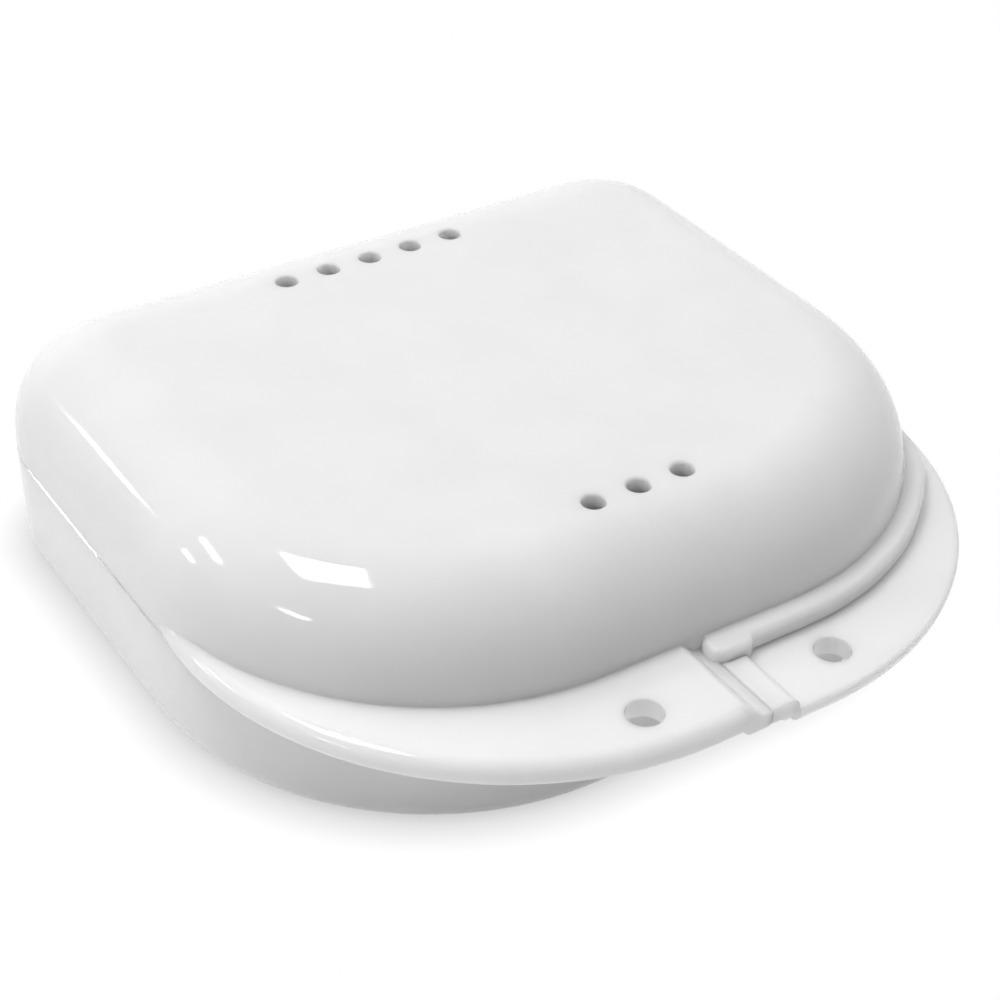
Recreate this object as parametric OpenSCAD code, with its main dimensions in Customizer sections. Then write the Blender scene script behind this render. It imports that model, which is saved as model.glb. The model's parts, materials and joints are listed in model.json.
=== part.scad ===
// Hinged retainer case of two glossy mouldings: a domed, vented lid on a shallow base.
// Both halves carry the same closure: a wide half flange with a snap tab at the front,
// a narrow rim beside it, and one clip and one pin of the hinge at the back. The closure
// of the base is that of the lid, given half a turn about the Y axis.

/* [Shell] */
// Outside width of both halves at the parting plane
case_w = 81.6; // [74:0.2:100]
// Outside depth of both halves at the parting plane, without flange and hinge
case_d = 70.6; // [62:0.2:90]
// Plan radius of the two front corners
front_corner_r = 30.4; // [20:0.2:34]
// Plan radius of the two back corners
back_corner_r = 11.5; // [8:0.5:16]
// Wall thickness of both halves
wall = 1.8; // [1.2:0.1:2.4]
// Gap between the rims of the two halves when the case is shut
parting_gap = 0.1; // [0.1:0.05:0.3]
// Bevel along the outer edges that meet at the parting plane
parting_bevel = 0.25; // [0.1:0.05:0.5]

/* [Lid] */
// Height of the lid above its rim
lid_h = 12.1; // [8:0.1:20]
// Radius of the rounded edge around the lid's flat top
lid_edge_r = 10; // [3:0.5:10]
// Lean of the lid's wall, from the rim to the rounded edge
lid_taper = 0.1; // [0:0.05:0.4]

/* [Base] */
// Depth of the base below its rim
base_h = 12.1; // [8:0.1:20]
// Radius of the rounded edge around the base's underside
base_edge_r = 2.5; // [2:0.1:6]
// Lean of the base's wall, from the rim to the rounded edge
base_taper = 0.1; // [0:0.05:0.4]

/* [Flange and rim] */
// Reach of the wide half flange in front of the shell
flange_reach = 10.7; // [8:0.1:14]
// Reach of the wide half flange beside the shell
flange_side = 0.2; // [0.2:0.1:3]
// Plan radius of the flange's corner
flange_corner_r = 34.4; // [30:0.1:37]
// Thickness of the flange and height of the rim
flange_t = 2; // [1.6:0.1:3]
// Radius of the flange's exposed edge
flange_edge_r = 1.5; // [0.5:0.1:1.5]
// Reach of the narrow rim beside the other half's flange
rim_w = 2.1; // [1.2:0.1:3]
// Radius of the rim's exposed edge
rim_edge_r = 0.7; // [0.2:0.1:1]
// Ledge that the rim leaves bare along the edge of the other half's flange
rim_ledge = 2; // [1:0.1:3]
// Diameter of the cord hole in each flange
hole_d = 3.6; // [2:0.1:5]
// Distance between the two cord holes
hole_spacing = 21.4; // [16:0.2:30]
// Distance of the cord holes from the flange's front edge
hole_inset = 5; // [3.5:0.1:6]

/* [Latch] */
// Length of a snap tab, from the middle of the case to the flat flange
tab_w = 2.9; // [2.5:0.1:4]
// Height of a tab's nose past the parting plane
tab_nose_h = 0.75; // [0.4:0.05:1]
// Flat stretch on top of a tab's nose
tab_nose_w = 0.8; // [0.2:0.1:1.2]
// Set-back of a tab from the flange's front edge
tab_setback = 0.45; // [0.1:0.05:1]
// Width of the bead under a tab, from the middle of the case
bead_w = 3.1; // [2.6:0.1:3.6]
// Depth of the bead past the parting plane, and radius of its round outer side
bead_drop = 0.9; // [0.6:0.05:1.2]
// Radius of the bead's edge next to the other half's tab
bead_edge_r = 0.35; // [0.1:0.05:0.5]
// Gap between the two tabs
latch_gap = 0.1; // [0.1:0.05:0.3]
// Far end of the pad that backs up the other half's tab, from the middle of the case
pad_end = 4.3; // [3.5:0.1:6]
// Near end of the pad, past the middle of the case and over its own tab
pad_lap = 0.5; // [0.2:0.1:1]
// Reach of the pad in front of the shell
pad_reach = 2.9; // [2.6:0.1:4]
// Plan radius of the pad's corners
pad_corner_r = 1.5; // [1.1:0.1:1.5]
// Gap between the pad and the other half's bead
pad_gap = 0.15; // [0.1:0.05:0.5]

/* [Vents] */
// Diameter of the air vents
vent_d = 2.3; // [1:0.1:4]
// Bevel around the mouth of an air vent
vent_bevel = 0.15; // [0.05:0.05:0.4]
// Distance between neighbouring vents
vent_pitch = 5; // [4.5:0.1:8]
// Vents in the row along the hinge
back_vents = 5; // [1:1:9]
// Vents in the row along the latch
front_vents = 3; // [1:1:7]
// Distance of the back row from the shell's back
back_vent_inset = 10.6; // [9:0.1:20]
// Distance of the front row from the shell's front
front_vent_inset = 11.1; // [9:0.1:20]

/* [Hinge] */
// Distance between the middles of the two hinge knuckles
hinge_spacing = 40; // [24:1:44]
// Distance of the hinge axis behind the shell
hinge_reach = 3; // [2.9:0.1:4]
// Diameter of the moulded hinge pins
pin_d = 2.4; // [1.6:0.1:2.6]
// Outside diameter of the knuckles
knuckle_d = 4.8; // [4.4:0.1:5]
// Radial clearance of a pin in its clip
pin_clear = 0.1; // [0.05:0.01:0.1]
// Width of a clip
clip_w = 7; // [4:0.5:10]
// Angle of the mouth through which a clip goes over its pin
mouth_angle = 100; // [80:5:120]
// Thickness of the two ears that hold a pin
ear_t = 1.8; // [1.2:0.1:2.5]
// Gap between a clip and each ear
ear_gap = 0.3; // [0.2:0.05:0.5]
// Height of the web that carries a knuckle on the wall
web_h = 4.5; // [3:0.1:6]

/* [Hidden] */
$fn = 96;
plastic = [0.93, 0.93, 0.94];

// Flat left between a rounded edge and the middle of its tightest corner
corner_land = 0.3;
// Least radius inside the shell
least_inner_r = 0.5;
// Overrun of a cut past the face that it opens
overrun = 1;
// Overlap of a feature with the wall or flange that it grows from
root = 0.5;
// Steps along the curved top of a tab
tab_steps = 12;

seat = parting_gap / 2;
parting_z = base_h + seat;
front_y = -case_d / 2;
back_y = case_d / 2;
flange_front_y = front_y - flange_reach;
flange_corner = [case_w / 2 + flange_side - flange_corner_r, flange_front_y + flange_corner_r];
hinge_y = back_y + hinge_reach;
pin_r = pin_d / 2;
knuckle_r = knuckle_d / 2;
pad_front_y = front_y - pad_reach;
rim_top = seat + flange_t;

// Middles of the plan corners on the right
front_corner = [case_w / 2 - front_corner_r, front_y + front_corner_r];
back_corner = [case_w / 2 - back_corner_r, back_y - back_corner_r];

// Plan corners as [x, y, radius, first angle], counted from the back right
shell_corners = [
    [back_corner.x, back_corner.y, back_corner_r, 0],
    [-back_corner.x, back_corner.y, back_corner_r, 90],
    [-front_corner.x, front_corner.y, front_corner_r, 180],
    [front_corner.x, front_corner.y, front_corner_r, 270]
];
pad_corners = [
    [pad_end - pad_corner_r, front_y + root - pad_corner_r, pad_corner_r, 0],
    [pad_corner_r - pad_lap, front_y + root - pad_corner_r, pad_corner_r, 90],
    [pad_corner_r - pad_lap, pad_front_y + pad_corner_r, pad_corner_r, 180],
    [pad_end - pad_corner_r, pad_front_y + pad_corner_r, pad_corner_r, 270]
];

function middle(corner) = [corner.x, corner.y];
function edge_point(corner, grow, angle) =
    middle(corner) + (corner[2] + grow) * [cos(angle), sin(angle)];

// Rounded plan outline, grown outwards by the given distance
module outline(corners, grow) {
    polygon([for (corner = corners, turn = [0, 90]) edge_point(corner, grow, corner[3] + turn)]);
    for (corner = corners)
        translate(middle(corner))
            circle(corner[2] + grow);
}

// Carries a section around an outline: a revolve at each corner, a prism along each side
module around(corners, grow) {
    for (i = [0:3]) {
        corner = corners[i];
        leave = corner[3] + 90;
        start = edge_point(corner, grow, leave);
        run = norm(edge_point(corners[(i + 1) % 4], grow, leave) - start);
        translate(middle(corner))
            rotate(corner[3])
                rotate_extrude(angle = 90)
                    translate([corner[2] + grow, 0])
                        children();
        translate(start)
            rotate(leave)
                rotate([90, 0, 0])
                    translate([0, 0, -run])
                        linear_extrude(run)
                            children();
    }
}

// Section of a wall and its rounded edge: x runs outwards from the outline, y up
module edge_section(height, edge_r, taper, depth, bevel) {
    centre = [-taper - edge_r, height - edge_r];
    foot = bevel > 0 ? [[-bevel, 0], [0, bevel]] : [[0, 0]];
    polygon(concat([[-depth, 0]], foot, [[-taper, centre.y], centre, [centre.x, height], [-depth, height]]));
    translate(centre)
        intersection() {
            circle(edge_r);
            square(edge_r);
        }
}

// Solid pan on an outline, with a rounded edge around its top
module pan(corners, grow, height, edge_r, taper, bevel = 0) {
    depth = edge_r + taper + corner_land;
    around(corners, grow)
        edge_section(height, edge_r, taper, depth, bevel);
    linear_extrude(height)
        outline(corners, grow - depth + corner_land / 2);
}

// Wide half flange, left of the latch
module flange() {
    translate([0, 0, seat])
        intersection() {
            union() {
                translate([-flange_corner.x, flange_corner.y])
                    rotate_extrude()
                        translate([flange_corner_r, 0])
                            flange_section();
                translate([0, flange_front_y])
                    rotate([90, 0, -90])
                        linear_extrude(flange_corner.x)
                            flange_section();
            }
            translate([-case_w - tab_w, -case_d, -overrun])
                cube([case_w, 2 * case_d, flange_t + 2 * overrun]);
        }
}

module flange_section(bevel = parting_bevel) {
    edge_section(flange_t, flange_edge_r, 0, flange_reach + root, bevel);
}

// Narrow rim, right of the latch, which runs out where the other half's flange does
module rim() {
    reach_r = flange_corner_r - rim_ledge;
    translate([0, 0, seat])
        intersection() {
            pan(shell_corners, rim_w, flange_t, rim_edge_r, 0, parting_bevel);
            union() {
                translate(flange_corner)
                    cylinder(h = flange_t, r = reach_r);
                translate([0, flange_corner.y - reach_r])
                    cube([flange_corner.x, reach_r, flange_t]);
            }
            translate([latch_gap / 2, -case_d])
                cube([case_w, 2 * case_d, flange_t]);
        }
}

// Pad at the inner end of the rim, behind the other half's bead
module pad() {
    translate([0, 0, seat])
        pan(pad_corners, 0, flange_t, min(rim_edge_r, pad_corner_r - 2 * corner_land), 0);
}

// Snap tab on the end of the flange. Its bead keeps clear of the other half's pad.
module tab() {
    tip_y = flange_front_y + tab_setback;
    intersection() {
        between_y(tip_y, front_y + root)
            tab_section();
        translate([0, tip_y, seat])
            rotate([90, 0, -90])
                linear_extrude(tab_w + 2 * root)
                    flange_section(0);
    }
    difference() {
        between_y(tip_y, pad_front_y + pad_corner_r)
            bead_section();
        translate([0, 0, -bead_drop - overrun])
            linear_extrude(bead_drop + 2 * overrun)
                mirror([1, 0])
                    outline(pad_corners, pad_gap);
    }
}

// Draws a section as a slab between two places on the Y axis
module between_y(near, far) {
    translate([0, far])
        rotate([90, 0, 0])
            linear_extrude(far - near)
                children();
}

// The tab swings down from the top of the flange to its nose
module tab_section() {
    nose_x = -latch_gap / 2;
    fall = rim_top - tab_nose_h;
    swing = [
        for (i = [0:tab_steps])
            let (s = i / tab_steps)
            [-tab_w + s * (tab_w - tab_nose_w), tab_nose_h + fall * (1 + cos(180 * s)) / 2]
    ];
    heel_x = -tab_w - root;
    polygon(concat([[heel_x, seat], [heel_x, rim_top]], swing, [[nose_x, tab_nose_h], [nose_x, seat]]));
}

// The bead hangs below the tab, past the parting plane: flat, with a round outer side
module bead_section() {
    near_x = -latch_gap / 2;
    outer = [bead_drop - bead_w, 0];
    edge = [near_x - bead_edge_r, bead_edge_r - bead_drop];
    intersection() {
        union() {
            translate(outer)
                circle(bead_drop);
            translate(edge)
                circle(bead_edge_r);
            translate([outer.x, -bead_drop])
                square([edge.x - outer.x, 2 * bead_drop]);
            translate([outer.x, edge.y])
                square([near_x - outer.x, bead_drop]);
        }
        translate([-bead_w, -2 * bead_drop])
            square([bead_w, 2 * bead_drop + seat + root / 2]);
    }
}

// Web that carries a knuckle: x runs back from the hinge axis, y up from the parting plane
module web_section() {
    wall_x = -hinge_reach - wall;
    polygon([[wall_x, seat], [wall_x, web_h], [-hinge_reach, web_h], [0, knuckle_r], [0, seat]]);
}

// Draws a section as a slice of the hinge, of the given width about the given place
module hinge_slice(x, width) {
    translate([x - width / 2, hinge_y])
        rotate([90, 0, 90])
            linear_extrude(width)
                children();
}

// Clip around the other half's pin, with its mouth towards that half
module clip() {
    mouth_x = knuckle_d * tan(mouth_angle / 2);
    hinge_slice(-hinge_spacing / 2, clip_w)
        difference() {
            union() {
                circle(knuckle_r);
                web_section();
            }
            circle(pin_r + pin_clear);
            polygon([[0, 0], [-mouth_x, -knuckle_d], [mouth_x, -knuckle_d]]);
        }
}

// Pin between two ears, for the other half's clip
module pin() {
    span = clip_w + 2 * ear_gap;
    hinge_slice(hinge_spacing / 2, span + ear_t)
        circle(pin_r);
    for (side = [-1, 1])
        hinge_slice(hinge_spacing / 2 + side * (span + ear_t) / 2, ear_t) {
            circle(knuckle_r);
            web_section();
        }
}

// One half of the case with its rim on the parting plane, open downwards
module half_case(height, edge_r, taper) {
    round_r = min(edge_r, back_corner_r - taper - 2 * corner_land);
    inner_r = max(round_r - wall, least_inner_r);
    difference() {
        union() {
            translate([0, 0, seat])
                pan(shell_corners, 0, height, round_r, taper, parting_bevel);
            flange();
            rim();
            pad();
            tab();
            clip();
            pin();
        }
        translate([0, 0, seat - overrun])
            pan(shell_corners, -wall, height - wall + overrun, inner_r, taper);
        translate([-hole_spacing / 2, flange_front_y + hole_inset, seat - overrun])
            cylinder(h = flange_t + 2 * overrun, d = hole_d);
    }
}

// Row of vents through the lid's top, with bevelled mouths
module vent_row(count, y) {
    top = seat + lid_h;
    for (i = [0:count - 1])
        translate([(i - (count - 1) / 2) * vent_pitch, y, top]) {
            translate([0, 0, -wall - overrun])
                cylinder(h = wall + 2 * overrun, d = vent_d);
            translate([0, 0, -vent_bevel])
                cylinder(h = 2 * vent_bevel, d1 = vent_d, d2 = vent_d + 4 * vent_bevel);
        }
}

module lid() {
    color(plastic)
        translate([0, 0, parting_z])
            difference() {
                half_case(lid_h, lid_edge_r, lid_taper);
                vent_row(back_vents, back_y - back_vent_inset);
                vent_row(front_vents, front_y + front_vent_inset);
            }
}

module base() {
    color(plastic)
        translate([0, 0, parting_z])
            rotate([0, 180, 0])
                half_case(base_h, base_edge_r, base_taper);
}

lid();
base();
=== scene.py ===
"""Glossy white retainer case in a white studio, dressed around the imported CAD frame. Units are metres."""
import json
import math

import bpy
from mathutils import Matrix, Vector


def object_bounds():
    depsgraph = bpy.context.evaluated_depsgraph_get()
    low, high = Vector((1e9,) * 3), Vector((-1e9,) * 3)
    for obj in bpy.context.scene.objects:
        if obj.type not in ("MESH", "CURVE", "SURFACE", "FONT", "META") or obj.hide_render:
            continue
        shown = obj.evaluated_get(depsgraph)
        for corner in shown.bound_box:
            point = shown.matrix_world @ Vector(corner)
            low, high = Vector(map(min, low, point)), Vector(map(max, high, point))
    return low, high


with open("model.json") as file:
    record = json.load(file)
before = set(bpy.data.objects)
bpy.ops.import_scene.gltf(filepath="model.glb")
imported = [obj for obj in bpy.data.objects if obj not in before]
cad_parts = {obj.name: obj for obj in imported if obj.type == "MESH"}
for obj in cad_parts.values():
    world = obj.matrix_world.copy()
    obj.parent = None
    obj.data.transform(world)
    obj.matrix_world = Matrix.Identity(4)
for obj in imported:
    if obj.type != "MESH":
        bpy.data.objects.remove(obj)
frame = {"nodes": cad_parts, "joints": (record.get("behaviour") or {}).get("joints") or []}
cad_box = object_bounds()

# The camera and the lamps face the middle of the parting plane. The hinge axis is at its height
PARTING_HEIGHT = frame["joints"][0]["pos_m"][2]
LOOK_AT = Vector((0, 0, PARTING_HEIGHT))

# Camera, fitted to the photograph's vents, rims and outline, with its angles in degrees
CAMERA_AZIMUTH = -33.787
CAMERA_ELEVATION = 35.756
CAMERA_ROLL = 1.597
CAMERA_DISTANCE = 0.22193
CAMERA_SLIDE = Vector((0.000737, -0.003667))
CLIP_START = 0.01
LENS_MM = 78.24
SENSOR_MM = 36

# Plastic. The larger a noise scale, the finer its pattern
PLASTIC_IOR = 1.5
LIGHT_SPREAD = 0.002
CLOUD_SCALE = 90
CLOUD_DARK = (0.87, 0.869, 0.878, 1)
CLOUD_LIGHT = (0.9, 0.899, 0.907, 1)
GLOSS_SCALE = 260
ROUGHNESS_LOW = 0.05
ROUGHNESS_HIGH = 0.09
RAMP_START = 0.35
RAMP_END = 0.65
PEEL_SCALE = 900
PEEL_HEIGHT = 0.00005
PEEL_STRENGTH = 0.05
EDGE_RADIUS = 0.0002

# Studio, where a grey or a strength of 1 is white
WHITE = 1
FLOOR_SIZE = 6
FLOOR_GREY = 0.9
FLOOR_GLOW = 0.1
# Painted shadow on the floor: the seen white darkens to this grey where the case is within this reach
PAINTED_SHADOW_GREY = 0.55
PAINTED_SHADOW_REACH = 0.004
WORLD_LIGHT = 0.03
NEAR_LAMP_DISTANCE = 0.7
FAR_LAMP_DISTANCE = 1.6


def grey(level):
    return level, level, level, 1


def direction(azimuth, elevation):
    """Unit vector from angles in degrees: azimuth 0 is the latch side, elevation is above the horizon."""
    turn = math.radians(azimuth)
    climb = math.radians(elevation)
    return Vector((math.sin(turn) * math.cos(climb), -math.cos(turn) * math.cos(climb), math.sin(climb)))


def add_object(name, data):
    obj = bpy.data.objects.new(name, data)
    bpy.context.scene.collection.objects.link(obj)
    return obj


def node_tree(owner):
    """Emptied nodes and links of a material or a world."""
    owner.use_nodes = True
    owner.node_tree.nodes.clear()
    return owner.node_tree.nodes, owner.node_tree.links


def split_rays(nodes, links, lighting, seen):
    """Mix of two shaders: one lights the case, and the camera sees the other, also in gloss and glass."""
    path = nodes.new("ShaderNodeLightPath")
    is_seen = path.outputs["Is Camera Ray"]
    for kind in ("Is Glossy Ray", "Is Transmission Ray"):
        either = nodes.new("ShaderNodeMath")
        either.operation = "MAXIMUM"
        links.new(is_seen, either.inputs[0])
        links.new(path.outputs[kind], either.inputs[1])
        is_seen = either.outputs["Value"]
    mix = nodes.new("ShaderNodeMixShader")
    links.new(is_seen, mix.inputs["Fac"])
    links.new(lighting, mix.inputs[1])
    links.new(seen, mix.inputs[2])
    return mix.outputs["Shader"]


def make_plastic(name):
    """Glossy moulded plastic: flow clouds in the white, patches in the gloss, and a fine orange peel."""
    material = bpy.data.materials.new(name)
    nodes, links = node_tree(material)
    place = nodes.new("ShaderNodeTexCoord").outputs["Object"]

    def noise(scale, detail):
        texture = nodes.new("ShaderNodeTexNoise")
        texture.inputs["Scale"].default_value = scale
        texture.inputs["Detail"].default_value = detail
        links.new(place, texture.inputs["Vector"])
        return texture.outputs["Fac"]

    def ramp(value, low, high):
        spread = nodes.new("ShaderNodeValToRGB")
        first, last = spread.color_ramp.elements
        first.position = RAMP_START
        first.color = low
        last.position = RAMP_END
        last.color = high
        links.new(value, spread.inputs["Fac"])
        return spread.outputs["Color"]

    shader = nodes.new("ShaderNodeBsdfPrincipled")
    shader.inputs["IOR"].default_value = PLASTIC_IOR
    shader.inputs["Subsurface Weight"].default_value = 1
    shader.inputs["Subsurface Radius"].default_value = (1, 1, 1)
    shader.inputs["Subsurface Scale"].default_value = LIGHT_SPREAD
    clouds = noise(CLOUD_SCALE, detail=2)
    links.new(ramp(clouds, CLOUD_DARK, CLOUD_LIGHT), shader.inputs["Base Color"])
    patches = noise(GLOSS_SCALE, detail=3)
    links.new(ramp(patches, grey(ROUGHNESS_LOW), grey(ROUGHNESS_HIGH)), shader.inputs["Roughness"])

    edge = nodes.new("ShaderNodeBevel")
    edge.inputs["Radius"].default_value = EDGE_RADIUS
    peel = nodes.new("ShaderNodeBump")
    peel.inputs["Strength"].default_value = PEEL_STRENGTH
    peel.inputs["Distance"].default_value = PEEL_HEIGHT
    links.new(noise(PEEL_SCALE, detail=1), peel.inputs["Height"])
    links.new(edge.outputs["Normal"], peel.inputs["Normal"])
    links.new(peel.outputs["Normal"], shader.inputs["Normal"])

    output = nodes.new("ShaderNodeOutputMaterial")
    links.new(shader.outputs["BSDF"], output.inputs["Surface"])
    return material


def make_floor_material():
    """Pale matte floor that throws light back on the case. It is seen as white as the background, with a
    faint painted shadow close to the case, where ambient occlusion darkens the seen white."""
    material = bpy.data.materials.new("studio_floor")
    nodes, links = node_tree(material)
    matte = nodes.new("ShaderNodeBsdfDiffuse")
    matte.inputs["Color"].default_value = grey(FLOOR_GREY)
    glow = nodes.new("ShaderNodeEmission")
    glow.inputs["Strength"].default_value = FLOOR_GLOW
    lighting = nodes.new("ShaderNodeAddShader")
    links.new(matte.outputs["BSDF"], lighting.inputs[0])
    links.new(glow.outputs["Emission"], lighting.inputs[1])

    # Painted shadow: ambient occlusion near the case darkens the white that the camera and the gloss see
    painted_shadow_mask = nodes.new("ShaderNodeAmbientOcclusion")
    painted_shadow_mask.inputs["Distance"].default_value = PAINTED_SHADOW_REACH
    painted_shadow = nodes.new("ShaderNodeValToRGB")
    painted_shadow.color_ramp.elements[0].color = grey(PAINTED_SHADOW_GREY)
    links.new(painted_shadow_mask.outputs["AO"], painted_shadow.inputs["Fac"])
    seen = nodes.new("ShaderNodeEmission")
    seen.inputs["Strength"].default_value = WHITE
    links.new(painted_shadow.outputs["Color"], seen.inputs["Color"])

    surface = split_rays(nodes, links, lighting.outputs["Shader"], seen.outputs["Emission"])
    output = nodes.new("ShaderNodeOutputMaterial")
    links.new(surface, output.inputs["Surface"])
    return material


def make_floor():
    mesh = bpy.data.meshes.new("studio_floor")
    half = FLOOR_SIZE / 2
    corners = [(-half, -half, 0), (half, -half, 0), (half, half, 0), (-half, half, 0)]
    mesh.from_pydata(corners, [], [(0, 1, 2, 3)])
    mesh.materials.append(make_floor_material())
    floor = add_object("studio_floor", mesh)
    floor.location.z = cad_box[0].z


def make_world():
    """Faint even light on the case, in front of a white background."""
    world = bpy.data.worlds.new("studio")
    bpy.context.scene.world = world
    nodes, links = node_tree(world)

    def background(strength):
        shader = nodes.new("ShaderNodeBackground")
        shader.inputs["Color"].default_value = grey(WHITE)
        shader.inputs["Strength"].default_value = strength
        return shader.outputs["Background"]

    surface = split_rays(nodes, links, background(WORLD_LIGHT), background(WHITE))
    output = nodes.new("ShaderNodeOutputWorld")
    links.new(surface, output.inputs["Surface"])


def make_lamp(name, azimuth, elevation, size, brightness, mirrored=True):
    """Rectangular lamp that faces the case, with a size of width and height. Brightness is its power per
    square metre, divided by pi. A lamp that isn't mirrored is further off and stays out of the gloss."""
    width, height = size
    lamp = bpy.data.lights.new(name, "AREA")
    lamp.shape = "RECTANGLE"
    lamp.size = width
    lamp.size_y = height
    lamp.energy = brightness * math.pi * width * height
    towards = direction(azimuth, elevation)
    distance = NEAR_LAMP_DISTANCE if mirrored else FAR_LAMP_DISTANCE
    obj = add_object(name, lamp)
    obj.location = LOOK_AT + towards * distance
    obj.rotation_euler = towards.to_track_quat("Z", "Y").to_euler()
    obj.visible_glossy = mirrored


def make_camera():
    """Camera at the photograph's viewing angle."""
    data = bpy.data.cameras.new("camera")
    data.sensor_width = SENSOR_MM
    data.lens = LENS_MM
    data.clip_start = CLIP_START
    camera = add_object("camera", data)
    back = direction(CAMERA_AZIMUTH, CAMERA_ELEVATION)
    level = Vector((0, 0, 1)).cross(back).normalized()
    roll = Matrix.Rotation(math.radians(CAMERA_ROLL), 3, back)
    right = roll @ level
    up = roll @ back.cross(level)
    axes = Matrix((right, up, back)).transposed()
    place = LOOK_AT + back * CAMERA_DISTANCE + right * CAMERA_SLIDE.x + up * CAMERA_SLIDE.y
    camera.matrix_world = Matrix.Translation(place) @ axes.to_4x4()
    bpy.context.scene.camera = camera


plastic = make_plastic("white_moulded_plastic")
for obj in frame["nodes"].values():
    obj.data.materials.clear()
    obj.data.materials.append(plastic)

make_floor()
make_world()

# Near lamps, whose mirror images are the highlights on the lid
make_lamp("overhead", azimuth=-128, elevation=70, size=(0.25, 0.2), brightness=10.1)
make_lamp("back_left_window", azimuth=-140.6, elevation=15, size=(0.04, 0.03), brightness=12)
make_lamp("low_left_window", azimuth=-126.5, elevation=19, size=(0.08, 0.045), brightness=10)
make_lamp("high_left_window", azimuth=-127.5, elevation=34.5, size=(0.16, 0.05), brightness=9)
make_lamp("left_window", azimuth=-81.5, elevation=31.5, size=(0.11, 0.03), brightness=22)

# Broad lamps further off, which set the greys
make_lamp("ceiling", azimuth=0, elevation=90, size=(3, 3), brightness=0.227, mirrored=False)
make_lamp("right_ceiling", azimuth=90, elevation=70, size=(1, 0.8), brightness=3, mirrored=False)
make_lamp("back_left_slope", azimuth=-150, elevation=52, size=(1.4, 1.1), brightness=1.24, mirrored=False)
make_lamp("back_left_wall", azimuth=-150, elevation=20, size=(1.6, 1.1), brightness=0.51, mirrored=False)
make_lamp("right_front_wall", azimuth=30, elevation=20, size=(1.6, 1.1), brightness=0.14, mirrored=False)
make_lamp("back_right_wall", azimuth=150, elevation=20, size=(1.6, 1.1), brightness=0.15, mirrored=False)

make_camera()
bpy.context.scene.view_settings.view_transform = "Standard"
